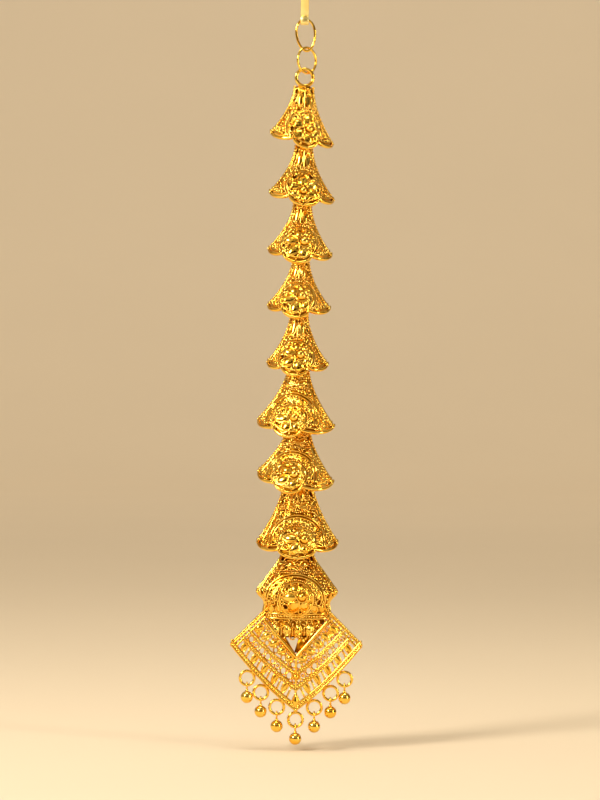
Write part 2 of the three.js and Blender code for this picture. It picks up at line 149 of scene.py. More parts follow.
# The pendant's dome, downwards from its neck: depth below the neck, half width, depth to the front.
DOME_SECTIONS = np.array([
    [0, 2.8, 1.6], [2.2, 3.7, 2.4], [4.9, 5.6, 3.8], [7.3, 7.3, 4.9],
    [8.6, 8.2, 5.3], [10.7, 6.7, 5.2], [12.9, 6.9, 3.4], [14.2, 7.0, 2.7],
])
DOME_BACK_SHARE = 0.82  # the height of the dome's back plate over the dome's
KITE_THICKNESS = 1.2
KITE_RIDGE = 1.2
KITE_TOP, KITE_TOP_HALF_WIDTH = 12.9, 7.0
KITE_CORNER, KITE_CORNER_X = 19.6, 13.6
KITE_TIP = 33.1
LOWER_EDGE_BOW = 0.95
BORDER, BAND_A, BAND_B = 32.35, 28.5, 25.55  # depths at the middle of the lines along the edges
VEE_TOP, VEE_HALF_WIDTH, VEE_TIP = 14.6, 6.5, 22.0
UPPER_BAND = 1.15  # the width of the band along the upper edges
UPPER_SLANT = 1.42  # how far down a line lies for each step square to the upper edge
WINDOW_TOP = NECK_TOP - 17.9
FRONT = 0.42  # how far the front wires stand off the kite's middle
STRAP = 0.6  # the thickness of the straps that carry them
DROP_RING_RADIUS, DROP_RING_WIRE = 1.46, 0.3
DROP_RING_STAND = 1.75
DROP_RING_PLACES = [-8.75, -5.9, -2.6, 0, 2.6, 5.9, 8.75]
DROP_EYE_RADIUS, DROP_EYE_WIRE, DROP_EYE_Z = 0.62, 0.18, -0.08
SHANK_RADIUS = 0.22
BALL_RADIUS, BALL_BELOW = 1.27, 2.45

# --- Metalwork -----------------------------------------------------------------------------------

# One of these finishes, the recess gold, is darkened to a deep amber as painted shade for the hollows
# under the cells.
POLISHED, BEADED, PAINTED_SHADE_RECESS, PLAIN, STRIP = range(5)


def ball_mesh(around, rings):
    """A unit ball: its points, and its faces as rows of corner numbers."""
    points = [[0, 0, 1]]
    for ring in range(1, rings):
        tilt = math.pi * ring / rings
        for step in range(around):
            angle = TAU * step / around
            points.append([
                math.sin(tilt) * math.cos(angle), math.sin(tilt) * math.sin(angle), math.cos(tilt),
            ])
    points.append([0, 0, -1])
    last = len(points) - 1
    faces = []
    for step in range(around):
        after = (step + 1) % around
        faces.append([0, 1 + step, 1 + after])
        for ring in range(rings - 2):
            above, below = 1 + ring * around, 1 + (ring + 1) * around
            faces.append([above + step, below + step, below + after, above + after])
        faces.append([last, last - around + after, last - around + step])
    return np.array(points, float), faces


GRAIN = ball_mesh(8, 5)
BALL = ball_mesh(40, 24)


def along(points, gap, closed=False):
    """Points at even steps of about gap along a line."""
    points = np.asarray(points, float)
    if closed:
        points = np.vstack([points, points[:1]])
    run = np.concatenate([[0], np.cumsum(np.linalg.norm(np.diff(points, axis=0), axis=1))])
    count = max(1, round(run[-1] / gap))
    places = np.linspace(0, run[-1], count + 1)[: count if closed else None]
    return np.stack([np.interp(places, run, points[:, axis]) for axis in range(3)], axis=1)


def carried_frames(path, closed, side=None):
    """Directions along, across and out of a path, which turn no more than the path does."""
    if closed:
        ahead = np.roll(path, -1, 0) - np.roll(path, 1, 0)
    else:
        ahead = np.gradient(path, axis=0)
    ahead /= np.linalg.norm(ahead, axis=1)[:, None] + 1e-12
    if side is None:
        side = np.eye(3)[np.argmin(np.abs(ahead[0]))]
    sides = []
    for direction in ahead:
        side = side - np.dot(side, direction) * direction
        side = side / np.linalg.norm(side)
        sides.append(side)
    sides = np.array(sides)
    outs = np.cross(ahead, sides)
    if closed:
        twist = math.atan2(np.dot(sides[0], outs[-1]), np.dot(sides[0], sides[-1]))
        share = (np.linspace(0, 1, len(path)) * twist)[:, None]
        sides, outs = (
            np.cos(share) * sides + np.sin(share) * outs,
            np.cos(share) * outs - np.sin(share) * sides,
        )
    return ahead, sides, outs


class Goldwork:
    """The metal of one piece, in millimetres in the piece's own frame."""

    def __init__(self):
        self.points = []
        self.faces = []
        self.finishes = []
        self.count = 0

    def add(self, points, faces, finish):
        """Points, the faces between them, and one finish or a finish for each face."""
        self.points.append(points)
        self.faces.extend(faces)
        self.finishes.extend([finish] * len(faces) if np.isscalar(finish) else finish)
        self.count += len(points)

    def loft(self, loops, finish, closed=False, tips=None):
        """A skin over loops of equal length. It closes on itself, or ends in two tips."""
        loops = np.asarray(loops, float)
        rows, around = loops.shape[:2]
        index = np.arange(rows * around).reshape(rows, around)
        upper = index if closed else index[:-1]
        lower = np.roll(index, -1, axis=0) if closed else index[1:]
        corners = [upper, lower, np.roll(lower, -1, axis=1), np.roll(upper, -1, axis=1)]
        quads = np.stack(corners, axis=-1).reshape(-1, 4)
        points = loops.reshape(-1, 3)
        finishes = np.broadcast_to(finish, upper.shape).reshape(-1).tolist()
        caps = []
        if not closed:
            first, last = tips if tips is not None else (loops[0].mean(0), loops[-1].mean(0))
            points = np.vstack([points, first, last])
            for step in range(around):
                after = (step + 1) % around
                caps.append([len(points) - 2, step, after])
                caps.append([len(points) - 1, index[-1, after], index[-1, step]])
            finishes += [finishes[0], finishes[-1]] * around
        a, b, c = (points[quads[:, i]] - points.mean(0) for i in range(3))
        flip = np.einsum("ij,ij->", a, np.cross(b, c)) < 0
        faces = (quads + self.count).tolist() + [[n + self.count for n in cap] for cap in caps]
        if flip:
            faces = [face[::-1] for face in faces]
        self.add(points, faces, [int(each) for each in finishes])

    def wire(self, path, radius, finish=POLISHED, closed=False, sides=8):
        """A round wire with rounded ends."""
        path = np.asarray(path, float)
        ahead, side, out = carried_frames(path, closed)
        angle = np.linspace(0, TAU, sides, endpoint=False)[:, None]
        section = [np.cos(angle) * s + np.sin(angle) * o for s, o in zip(side, out)]
        loops = [middle + radius * ring for middle, ring in zip(path, section)]
        if closed:
            self.loft(loops, finish, closed=True)
            return
        for tilt in (0.5, 1.0):
            push, narrow = radius * math.sin(tilt), radius * math.cos(tilt)
            loops.insert(0, path[0] - push * ahead[0] + narrow * section[0])
            loops.append(path[-1] + push * ahead[-1] + narrow * section[-1])
        tips = path[0] - radius * ahead[0], path[-1] + radius * ahead[-1]
        self.loft(loops, finish, tips=tips)

    def wall(self, path, out, radius, root, finish=POLISHED, closed=False, sides=8):
        """A wire on edge: round on top, and with its foot at a depth of root."""
        path, out = np.asarray(path, float), np.asarray(out, float)
        side = np.cross(carried_frames(path, closed)[0], out)
        side /= np.linalg.norm(side, axis=1)[:, None] + 1e-12
        angle = np.linspace(0, TAU, sides, endpoint=False)
        lift = np.where(np.sin(angle) > 0, radius, root) * np.sin(angle)
        loops = path[:, None] + (radius * np.cos(angle))[None, :, None] * side[:, None]
        self.loft(loops + lift[None, :, None] * out[:, None], finish, closed)

    def strap(self, path, width, thickness, finish=POLISHED, face=(0, -1, 0)):
        """A flat strap with eased corners; face is the way its flat side looks."""
        path = np.asarray(path, float)
        _, out, side = carried_frames(path, False, np.array(face, float))
        ease = 0.25 * min(width, thickness)
        half, deep = width / 2, thickness / 2
        section = [
            (half - ease, deep), (half, deep - ease), (half, ease - deep), (half - ease, -deep),
            (ease - half, -deep), (-half, ease - deep), (-half, deep - ease), (ease - half, deep),
        ]
        loops = [[p + a * s + b * o for a, b in section] for p, s, o in zip(path, side, out)]
        self.loft(loops, finish)

    def grains(self, centres, radius, finish=BEADED, shape=GRAIN):
        """Balls of one radius, or one radius each."""
        centres = np.atleast_2d(np.asarray(centres, float))
        radii = np.broadcast_to(radius, len(centres))
        points, faces = shape
        placed = centres[:, None, :] + radii[:, None, None] * points[None]
        first = self.count
        rows = [
            [corner + first + ball * len(points) for corner in face]
            for ball in range(len(centres)) for face in faces
        ]
        self.add(placed.reshape(-1, 3), rows, finish)

    def beads(self, path, radius, closed=False, finish=BEADED):
        """A beaded wire: grains side by side along a line."""
        self.grains(along(path, 2.1 * radius, closed), radius, finish)

    def seated(self, node, yaw=0.0, roll=0.0):
        """The points turned as the piece hangs, and moved to where its CAD node is."""
        turned = np.vstack(self.points) @ turning(yaw, roll).T
        low, high = (np.array(corner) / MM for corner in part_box(node))
        shift = (low + high - turned.min(0) - turned.max(0)) / 2
        shift[1] = 0
        shift[2] = high[2] - turned[:, 2].max()
        return turned + shift


def turning(yaw, roll):
    """A turn about the piece's own upright axis, and then a lean to one side."""
    a, b = math.radians(yaw), math.radians(roll)
    about_z = np.array([[math.cos(a), -math.sin(a), 0], [math.sin(a), math.cos(a), 0], [0, 0, 1]])
    about_y = np.array([[math.cos(b), 0, math.sin(b)], [0, 1, 0], [-math.sin(b), 0, math.cos(b)]])
    return about_y @ about_z


def front_ring(radius, middle=(0, 0, 0), steps=32):
    """A circle that faces the front."""
    angle = np.linspace(0, TAU, steps, endpoint=False)
    return np.stack([radius * np.cos(angle), 0 * angle, radius * np.sin(angle)], axis=1) + middle


def side_ring(radius, middle=(0, 0, 0), steps=32):
    """A circle that is edge on to the front."""
    angle = np.linspace(0, TAU, steps, endpoint=False)
    return np.stack([0 * angle, radius * np.cos(angle), radius * np.sin(angle)], axis=1) + middle


# --- Curved faces that filigree lies on ----------------------------------------------------------


class CurvedFace:
    """The outer face of a half bell. angle goes round it from -90 to 90, down from 0 to 1."""

    swells = ()  # round domes on the face: x, z, half width, half height, rise
    root = SHEET_SINK + 0.05
    fine = FINE_WIRE

    def point(self, angle, down, stand=0.0):
        """A point on the face, or stand off it."""
        angle, down = np.broadcast_arrays(np.asarray(angle, float), np.asarray(down, float))
        base = self.surface(angle, down)
        for x, z, half_width, half_height, rise in self.swells:
            away = ((base[..., 0] - x) / half_width) ** 2 + ((base[..., 2] - z) / half_height) ** 2
            stand = stand + rise * np.clip(1 - away, 0, 1) ** 0.8
        return base + np.asarray(stand)[..., None] * self.outwards(angle, down)

    def outwards(self, angle, down):
        """The way the face looks, leaving out its swells and the rim's lobes."""
        below = self.smooth(angle, down + 0.004) - self.smooth(angle, down - 0.004)
        beside = self.smooth(angle + 0.2, down) - self.smooth(angle - 0.2, down)
        out = np.cross(below, beside)
        out /= np.linalg.norm(out, axis=-1)[..., None]
        return out

    def at(self, x, z, stand=0.0):
        """A point of the face by where it shows from the front."""
        x, z = np.broadcast_arrays(np.asarray(x, float), np.asarray(z, float))
        return self.point(*self.find(x, z), stand)

    def edge(self, work, angle, down, radius, stand=0.0, closed=False):
        """A cell's edge along the face, which stands on the sheet behind."""
        angle, down = np.broadcast_arrays(np.asarray(angle, float), np.asarray(down, float))
        path, out = self.point(angle, down, stand), self.outwards(angle, down)
        work.wall(path, out, radius, stand + self.root, closed=closed)
        self.take(path, radius)

    def edge_at(self, work, x, z, radius, stand=0.0, closed=False):
        """The same edge, by x and z."""
        self.edge(work, *self.find(*np.broadcast_arrays(x, z)), radius, stand, closed)

    def open_field(self, places):
        """Spots on the face where little cells may stand, and how much room each still has."""
        self.places = np.array(places, float)
        self.spots = self.point(*self.places.T)
        self.room = np.full(len(self.spots), FIELD_ROOM)

    def take(self, points, reach):
        """Leaves no room for cells within reach of the points. Cells are taller than wide."""
        shape = np.array([CELL_STRETCH, CELL_STRETCH, 1.0])
        points = np.asarray(points, float).reshape(-1, 3)
        gaps = np.linalg.norm((self.spots[:, None] - points[None]) * shape, axis=2)
        self.room = np.minimum(self.room, gaps.min(axis=1) - reach)

    def fill(self, work, largest=0.8, least=0.24, stand=0.0):
        """Packs what room is left with cells, the largest first, each against its neighbours."""
        made = 0
        while self.room.max() > least:
            fits = np.where(self.room >= largest, self.room, np.inf)
            index = int(np.argmin(fits) if np.isfinite(fits.min()) else np.argmax(self.room))
            radius = min(self.room[index], largest)
            angle, down = self.places[index]
            if radius < GRAIN_ROOM:
                work.grains(self.point(angle, down, stand - GRAIN_SINK), radius + GRAIN_SPREAD)
            else:
                # Every third ring holds a grain.
                inside = (0.55 if made % 3 == 0 else 0.0) * (radius - self.fine)
                reach = radius - 0.3 * self.fine
                add_small_ring(work, self, angle, down, reach, self.fine, stand, inside)
                made += 1
            self.take(self.spots[index], radius)


class BellFace(CurvedFace):
    """A bell's face, from its neck to the three lobes of its rim."""

    def __init__(self, width, height, neck, flare, dip, lobe, slant, **_):
        self.rim_half, self.height, self.neck_half = width / 2, height, neck / 2
        self.flare, self.dip, self.lobe = flare, dip, lobe
        self.slope = math.tan(math.radians(slant))
        self.bottom = NECK_TOP - height - dip - MIDDLE_LOBE

    def half(self, down):
        """Half the bell's width at a share of the way down."""
        down = np.clip(down, 0, None)
        return self.neck_half + (self.rim_half - self.neck_half) * down**self.flare

    def rim_drop(self, angle):
        """How far the rim hangs below the bell's height."""
        away = np.abs(angle)
        middle = MIDDLE_LOBE * np.sqrt(np.clip(1 - (away / self.lobe) ** 2, 0, 1))
        share = np.clip((away - self.lobe) / (90 - self.lobe), 0, 1)
        side = SIDE_LOBE * np.sqrt(np.abs(np.sin(math.pi * share)))
        return self.dip * np.cos(np.radians(angle)) + np.where(away < self.lobe, middle, side)

    def section(self, angle, down, drop):
        """Points of the face, when its rim hangs by drop."""
        angle, down = np.broadcast_arrays(np.asarray(angle, float), np.asarray(down, float))
        half, turn = self.half(down), np.radians(angle)
        fall = self.height + drop + self.slope * self.rim_half * np.sin(turn)
        return np.stack([
            half * np.sin(turn), BACK_Y - DEPTH_SHARE * half * np.cos(turn), NECK_TOP - down * fall,
        ], axis=-1)

    def surface(self, angle, down):
        return self.section(angle, down, self.rim_drop(angle))

    def smooth(self, angle, down):
        """The face without its lobes."""
        return self.section(angle, down, self.dip * np.cos(np.radians(angle)))

    def find(self, x, z):
        """The angle and the share of the way down at x and z, by closing in on them."""
        down = np.clip((NECK_TOP - z) / (self.height + self.dip), 0, 1)
        for _ in range(40):
            sine = np.clip(x / self.half(down), -1, 1)
            angle = np.degrees(np.arcsin(sine))
            fall = self.height + self.rim_drop(angle) + self.slope * self.rim_half * sine
            down = (down + np.clip((NECK_TOP - z) / fall, 0, 1.05)) / 2
        return angle, down

    def rim_angles(self, steps=16):
        """Angles along the rim, closer together near the cusps between its lobes."""
        ease = (1 - np.cos(np.linspace(0, math.pi, steps + 1))) / 2
        stops = [-90, -self.lobe, self.lobe, 90]
        parts = [a + (b - a) * ease[:-1] for a, b in zip(stops, stops[1:])]
        return np.concatenate(parts + [[90]])


class DomeFace(CurvedFace):
    """The face of the pendant's dome, which is widest a little above its foot."""

    def __init__(self):
        self.height = DOME_SECTIONS[-1, 0]
        self.bottom = NECK_TOP - self.height

    def profile(self, down):
        """Half width and depth at a share of the way down, on a smooth curve through the sections."""
        below = np.clip(down, 0, 1) * self.height
        places = DOME_SECTIONS[:, 0]
        left = np.clip(np.searchsorted(places, below, side="right") - 1, 0, len(places) - 2)
        run = places[left + 1] - places[left]
        t = (below - places[left]) / run
        made = []
        for column in (1, 2):
            values = DOME_SECTIONS[:, column]
            slope = np.gradient(values, places)
            made.append(
                (2 * t**3 - 3 * t**2 + 1) * values[left] + (t**3 - 2 * t**2 + t) * run * slope[left]
                + (3 * t**2 - 2 * t**3) * values[left + 1] + (t**3 - t**2) * run * slope[left + 1]
            )
        return made

    def surface(self, angle, down):
        angle, down = np.broadcast_arrays(np.asarray(angle, float), np.asarray(down, float))
        half, depth = self.profile(down)
        turn = np.radians(angle)
        return np.stack([
            half * np.sin(turn), BACK_Y - depth * np.cos(turn), NECK_TOP - down * self.height,
        ], axis=-1)

    smooth = surface

    def find(self, x, z):
        down = np.clip((NECK_TOP - z) / self.height, 0, 1)
        half, _ = self.profile(down)
        return np.degrees(np.arcsin(np.clip(x / half, -1, 1))), down


# --- Filigree on a face --------------------------------------------------------------------------


def add_wire(work, face, path, radius, sides=8):
    """A smooth wire, and no cells under it."""
    work.wire(path, radius, sides=sides)
    face.take(path, radius)


def add_beads(work, face, path, radius=FINE_BEAD):
    """A beaded wire, and no cells under it."""
    work.beads(path, radius)
    face.take(path, radius)


def oval(centre, half_width, half_height, start=-180, end=180, steps=48):
    """x and z along an oval, by degrees from its top; positive is to the right."""
    angle = np.radians(np.linspace(start, end, steps + 1))
    return centre[0] + half_width * np.sin(angle), centre[1] + half_height * np.cos(angle)


def leaf_outline(start, end, half_width, belly=1.0, steps=10):
    """The middle line of a leaf from start to end, its half widths, and the way across it."""
    start, end = np.array(start, float), np.array(end, float)
    share = np.linspace(0.02, 0.98, steps)
    middle = start + share[:, None] * (end - start)
    width = half_width * np.sin(math.pi * share**belly) ** 0.8
    run = (end - start) / np.linalg.norm(end - start)
    return middle, width, np.array([-run[1], run[0]])


def add_leaf(work, face, start, end, half_width, rise=0.3, belly=1.0, outline=FINE_WIRE, stand=0.0):
    """A domed leaf with a fine wire round it; start and end are x and z."""
    middle, width, across = leaf_outline(start, end, half_width, belly)
    places = np.array([-1, -0.8, -0.45, 0, 0.45, 0.8, 1])
    over = middle[:, None] + (width[:, None] * places)[..., None] * across
    lift = stand + rise * (1 - places**2) * (width / half_width)[:, None] ** 0.6
    top = face.at(over[..., 0], over[..., 1], lift - LEAF_SINK)
    under = face.at(over[..., 0], over[..., 1], stand - face.root)
    loops = np.concatenate([top, under[:, -1:0:-1], under[:, :1]], axis=1)
    work.loft(loops, POLISHED)
    face.take(top, outline)
    if outline:
        edge = np.concatenate([over[:, 0], over[::-1, -1]])
        face.edge_at(work, edge[:, 0], edge[:, 1], outline, stand, closed=True)


def add_small_ring(work, face, angle, down, radius, wire=FINE_WIRE, stand=0.0, grain=0.0):
    """A little upright oval of wire on the face, with a grain in it. radius is its half height."""
    middle = face.point(angle, down, stand)
    out = face.outwards(np.float64(angle), np.float64(down))
    side = np.cross(out, [0, 0, 1])
    side /= np.linalg.norm(side)
    turn = np.linspace(0, TAU, 12, endpoint=False)[:, None]
    up = np.cross(side, out)
    ring = middle + radius * (np.cos(turn) * side / CELL_STRETCH + np.sin(turn) * up)
    work.wall(ring, np.broadcast_to(out, ring.shape), wire, face.root + stand, closed=True, sides=6)
    if grain:
        work.grains([middle - 0.1 * out], grain, POLISHED)
    face.take(ring, wire)


def oval_reach(spot, oval_shape, direction):
    """How far it is from a spot inside an oval to its edge, in a direction."""
    x, z, half_width, half_height = oval_shape
    px, pz = (spot[0] - x) / half_width, (spot[1] - z) / half_height
    dx, dz = direction[0] / half_width, direction[1] / half_height
    a, b, c = dx * dx + dz * dz, px * dx + pz * dz, px * px + pz * pz - 1
    return (-b + math.sqrt(b * b - a * c)) / a


def add_rosette(work, face, shape, boss, petals, turn):
    """A domed flower of polished leaves round a ball boss, inside an oval."""
    spot, radius = boss[:2], boss[2]
    share = math.pi / petals
    start, widest, leaf_gap, grain_gap = radius * 1.3, 0.95, 0.3, 0.42
    for petal in range(petals):
        angle = math.radians(turn) + 2 * share * petal
        direction = math.sin(angle), math.cos(angle)
        reach = oval_reach(spot, shape, direction) - leaf_gap
        half_width = min(math.tan(share) * (start + reach) * 0.5 * 0.86, widest)
        ends = [[spot[i] + direction[i] * length for i in range(2)] for length in (start, reach)]
        add_leaf(work, face, *ends, half_width, rise=0.38, belly=0.85)
        angle += share
        direction = math.sin(angle), math.cos(angle)
        reach = oval_reach(spot, shape, direction) - grain_gap
        place = [spot[i] + direction[i] * reach for i in range(2)]
        work.grains(face.at(*place, 0.05), 0.24, POLISHED)
    work.grains(face.at(*spot, 0.15), radius, POLISHED, BALL)
    x, z = oval(spot, radius + 0.16, radius + 0.16, steps=24)
    face.edge_at(work, x[:-1], z[:-1], 0.15, 0.05, closed=True)
    face.take(face.at(*spot), radius)


def grown(shape, gap):
    """The oval that lies outside another by a gap, or inside it by a gap below 0."""
    x, z, half_width, half_height = shape
    return x, z, half_width + gap, half_height + gap


def oval_line(shape, reach):
    """x and z along an oval, from its top down to an angle of reach on both sides."""
    return oval(shape[:2], *shape[2:], -reach, reach)


def add_arch(work, face, shape, reach):
    """A smooth wire round an oval and a beaded wire round that."""
    face.edge_at(work, *oval_line(shape, reach), ARCH_WIRE, 0.06)
    beaded = oval_line(grown(shape, ARCH_WIRE + FINE_BEAD), reach)
    add_beads(work, face, face.at(*beaded, 0.04))


def add_outer_arch(work, face, inner, inner_gap, outer, reach):
    """Two smooth wires in an arch over a rosette, and a ladder of cells between them and its oval."""
    for inset in (0, -0.5):
        face.edge_at(work, *oval_line(grown(outer, inset), 92), OUTER_ARCH_WIRE, 0.05)
    add_ray_cells(work, face, grown(inner, inner_gap), grown(outer, -0.45), reach, 11)


def add_crown(work, face, z, levels):
    """Two beaded lines across the face over an arch."""
    for level, edge in zip(levels, CROWN_EDGES):
        add_beads(work, face, across(face, z + level, edge))


def add_ray_cells(work, face, inside, outside, reach, count):
    """Leaves between two arches, with rungs between them like a ladder's."""
    places = np.linspace(-reach, reach, 2 * count + 1)
    for index, place in enumerate(places):
        near, far = (
            np.array([part[0] for part in oval(shape[:2], *shape[2:], place, place, 0)])
            for shape in (inside, outside)
        )
        gap = far - near
        length = np.linalg.norm(gap)
        if length < 0.9:
            continue
        if index % 2:
            start, end = near + gap * (0.4 / length), near + gap * (1 - 0.3 / length)
            add_leaf(work, face, start, end, 0.42, rise=0.2, outline=0.15)
        else:
            rung = near + np.linspace(0.2, 1, 6)[:, None] * gap
            face.edge_at(work, rung[:, 0], rung[:, 1], 0.12)


def add_sheet(work, face, outer_rows, inner_rows, loop):
    """The closed shell behind the filigree; loop gives one loop of it, at a share down."""
    outer = [loop(face, down, 0.0) for down in outer_rows]
    inner = [loop(face, down, SHEET_INSIDE) for down in inner_rows[::-1]]
    loops = np.array(outer + inner)
    rows, around = loops.shape[:2]
    finish = np.full((rows - 1, around), PLAIN)
    # The front of the sheet under the cells takes the darkened recess gold: painted shade in the
    # hollows between the wires.
    finish[: len(outer) - 1, : around - BACK_POINTS] = PAINTED_SHADE_RECESS
    work.loft(loops, finish)


def front_line(face, angles, down, inset, half, depth):
    """The front of a loop: under the cells on the outside, and inset on the inside."""
    if not inset:
        return face.point(angles, down, -SHEET_SINK)
    turn = np.radians(angles)
    front = face.surface(angles, down)
    front[:, 0] = (half - inset) * np.sin(turn)
    front[:, 1] = BACK_Y - inset - (depth - 2 * inset) * np.cos(turn)
    return front


def bell_loop(face, down, inset):
    """A loop round a bell, over its front and then along its back plate, with the notch for the eye."""
    half = face.half(down)
    front = front_line(face, face.rim_angles(14), down, inset, half, DEPTH_SHARE * half)
    back = []
    for share in np.linspace(0.9, -0.9, BACK_POINTS) ** 3:
        x = share * (half - max(inset, SHEET_SINK))
        rim_x = share * face.rim_half
        rise = NOTCH_RISE * (1 - smooth_step(0.7 * NOTCH_HALF_WIDTH, NOTCH_HALF_WIDTH, abs(rim_x)))
        back.append([x, BACK_Y - inset, NECK_TOP - down * (face.height - rise + face.slope * rim_x)])
    return np.vstack([front, back])


def smooth_step(low, high, value):
    """0 below low and 1 above high."""
    share = min(max((value - low) / (high - low), 0), 1)
    return share * share * (3 - 2 * share)


def dome_loop(face, down, inset):
    """A loop round the pendant's dome."""
    half, depth = face.profile(down)
    front = front_line(face, np.linspace(-90, 90, 43), down, inset, half, depth)
    reach = half - max(inset, SHEET_SINK)
    z = NECK_TOP - down * face.height * DOME_BACK_SHARE
    back = [[share * reach, BACK_Y - inset, z] for share in np.linspace(0.8, -0.8, BACK_POINTS)]
    return np.vstack([front, back])


# --- Bells ---------------------------------------------------------------------------------------


def add_eyes(work, lower_z, top=True):
    """The eyes that a bell hangs by and carries the next one with."""
    if top:
        work.wire(front_ring(EYE_RADIUS), EYE_WIRE, closed=True, sides=12)
    work.wire(front_ring(EYE_RADIUS, (0, 0, lower_z)), EYE_WIRE, closed=True, sides=12)


def add_bell_edges(work, face, wide):
    """The rim's heavy wire, the edges down the sides, and the wires along the back plate."""
    rim = face.rim_angles()
    work.wall(face.point(rim, 1.0, -0.1), face.outwards(rim, 1.0), RIM_WIRE, 0.6, sides=12)
    face.edge(work, rim, 0.94, 0.17, 0.0)
    downs = np.linspace(0.02, 1, 40)
    for side in (-1, 1):
        work.wire(face.point(side * SIDE_ANGLE, downs, -0.1), SIDE_WIRE, sides=10)
        angle, wire, stand = (70, 0.16, 0.02) if wide else (74, 0.14, 0.0)
        face.edge(work, side * angle, downs[:-3], wire, stand)
        add_beads(work, face, face.point(side * 83, downs, 0.06), SIDE_BEAD)
        back = face.point(side * 90, downs, 0.0)
        back[:, 0] *= 0.93
        back[:, 1] = BACK_Y
        work.wire(back, 0.17)


def add_small_neck(work, face, base):
    """Two leaf cells with a rib between them, and a pair of small rings over them."""
    top = NECK_TOP - 0.3
    face.edge_at(work, np.zeros(12), np.linspace(top, base + 0.2, 12), 0.15, 0.05)
    for side in (-1, 1):
        start, end = (side * 0.72, top - 1.2), (side * 1.05, base + 0.3)
        add_leaf(work, face, start, end, 0.62, rise=0.2, belly=0.8, outline=0.15)
        angle, down = face.find(np.float64(side * 0.62), np.float64(top - 0.62))
        add_small_ring(work, face, angle, down, 0.42, 0.14, 0.04, 0.22)


def add_bow_neck(work, face, top, base, reach=2.3):
    """Two wide drops of wire that spread from the middle like a bow, under a pair of leaves."""
    for side in (-1, 1):
        tip, heart = (side * reach, base + 1.55), (side * 0.22, base + 0.5)
        add_leaf(work, face, heart, tip, 0.58, rise=0.3, belly=1.3, outline=0.17)
        angle, down = face.find(np.float64(side * reach * 0.62), np.float64(base + 0.3))
        add_small_ring(work, face, angle, down, 0.3, 0.13, 0.0, 0.2)
        if top - base > 3.2:
            start, end = (side * 0.75, top - 0.5), (side * 0.95, base + 1.9)
            add_leaf(work, face, start, end, 0.55, rise=0.25, outline=0.15)
            angle, down = face.find(np.float64(side * reach * 0.9), np.float64(base + 2.4))
            add_small_ring(work, face, angle, down, 0.34, 0.14, 0.0, 0.2)
    if top - base > 3.2:
        face.edge_at(work, np.zeros(8), np.linspace(top, base + 1.6, 8), 0.15, 0.05)
    work.grains(face.at(0, base + 1.1, 0.0), 0.34, POLISHED)


def across(face, z, edge):
    """A line round the face at one height, between two angles."""
    _, down = face.find(np.float64(0), np.float64(z))
    return face.point(np.linspace(-edge, edge, 30), down, 0.03)


def make_bell(name, row):
    """One half bell, with the eyes it hangs and carries by; the first one hangs by a wide bail."""
    face = BellFace(**row)
    half_width, height = row["arch"]
    # The rosette's oval rests on the rim's middle lobe.
    shape = (0, face.bottom + height / 2, half_width, height / 2)
    boss = (row["boss"][0], face.bottom + row["boss"][1], row["boss"][2])
    face.swells = [(*shape, ROSETTE_SWELL)]
    face.open_field(FIELD)
    work = Goldwork()
    add_sheet(work, face, np.linspace(0, 1, 26), np.linspace(0.3, 1, 10), bell_loop)
    add_bell_edges(work, face, wide="outer_arch" in row)
    add_rosette(work, face, shape, boss, row["petals"], row["turn"])
    if "outer_arch" in row:
        wide, tall = row["outer_arch"]
        centre = face.bottom + 2.4
        outer = (0, centre, wide, face.bottom + tall - centre)
        add_arch(work, face, shape, 118)
        add_outer_arch(work, face, shape, 0.3, outer, 88)
        arch_top = face.bottom + tall
        add_bow_neck(work, face, NECK_TOP, arch_top + 0.9)
    else:
        add_arch(work, face, shape, 120)
        arch_top = face.bottom + height
        add_small_neck(work, face, arch_top + 0.6)
    add_crown(work, face, arch_top, (0.55, 0.95))
    face.fill(work)
    lower_eye = NECK_TOP - row["height"] + NOTCH_RISE + NECK_TOP
    add_eyes(work, lower_eye, top=name != "bell_1")
    if name == "bell_1":
        bail = (0, 0, NECK_TOP + BAIL_RADIUS + BAIL_WIRE - BAIL_SINK)
        work.wire(front_ring(BAIL_RADIUS, bail, 48), BAIL_WIRE, closed=True, sides=16)
    points = work.seated(name, row["yaw"], row["roll"])
    piece(name + "_filigree", work, points, CHAIN, name)


# --- Pendant -------------------------------------------------------------------------------------


class KiteFace(CurvedFace):
    """The pendant's openwork kite, two flat wings that meet in a low ridge."""

    root = 0.8
    fine = 0.17
    spots = None  # until its field is open

    def take(self, points, reach):
        if self.spots is not None:
            super().take(points, reach)

    def at(self, x, z, stand=0.0):
        x, z = np.broadcast_arrays(np.asarray(x, float), np.asarray(z, float))
        middle = BACK_Y - KITE_THICKNESS / 2 - KITE_RIDGE * (1 - np.abs(x) / KITE_CORNER_X)
        return np.stack([x, middle - stand, z], axis=-1)

    def find(self, x, z):
        return x, z

    def point(self, x, z, stand=0.0):
        return self.at(x, z, stand)

    def outwards(self, x, z):
        return np.broadcast_to([0.0, -1.0, 0.0], np.shape(x) + (3,))


def edge_line(depth, x):
    """z of a line along the kite's lower edges that meets the middle at a depth."""
    share = np.abs(x) / KITE_CORNER_X
    bow = 4 * LOWER_EDGE_BOW * share * (1 - share)
    return NECK_TOP - depth + (KITE_TIP - KITE_CORNER) * share - bow


def upper_edge(x, inset=0.0):
    """z of the kite's upper edge, or of a line inside it."""
    slope = (KITE_CORNER - KITE_TOP) / (KITE_CORNER_X - KITE_TOP_HALF_WIDTH)
    return NECK_TOP - KITE_TOP - slope * (np.abs(x) - KITE_TOP_HALF_WIDTH) - inset * UPPER_SLANT


def line_end(depth, inset):
    """x where a line along the lower edge meets the band along the upper edge."""
    x = np.linspace(0, KITE_CORNER_X, 400)
    return float(x[np.argmax(edge_line(depth, x) > upper_edge(x, inset))] or KITE_CORNER_X)


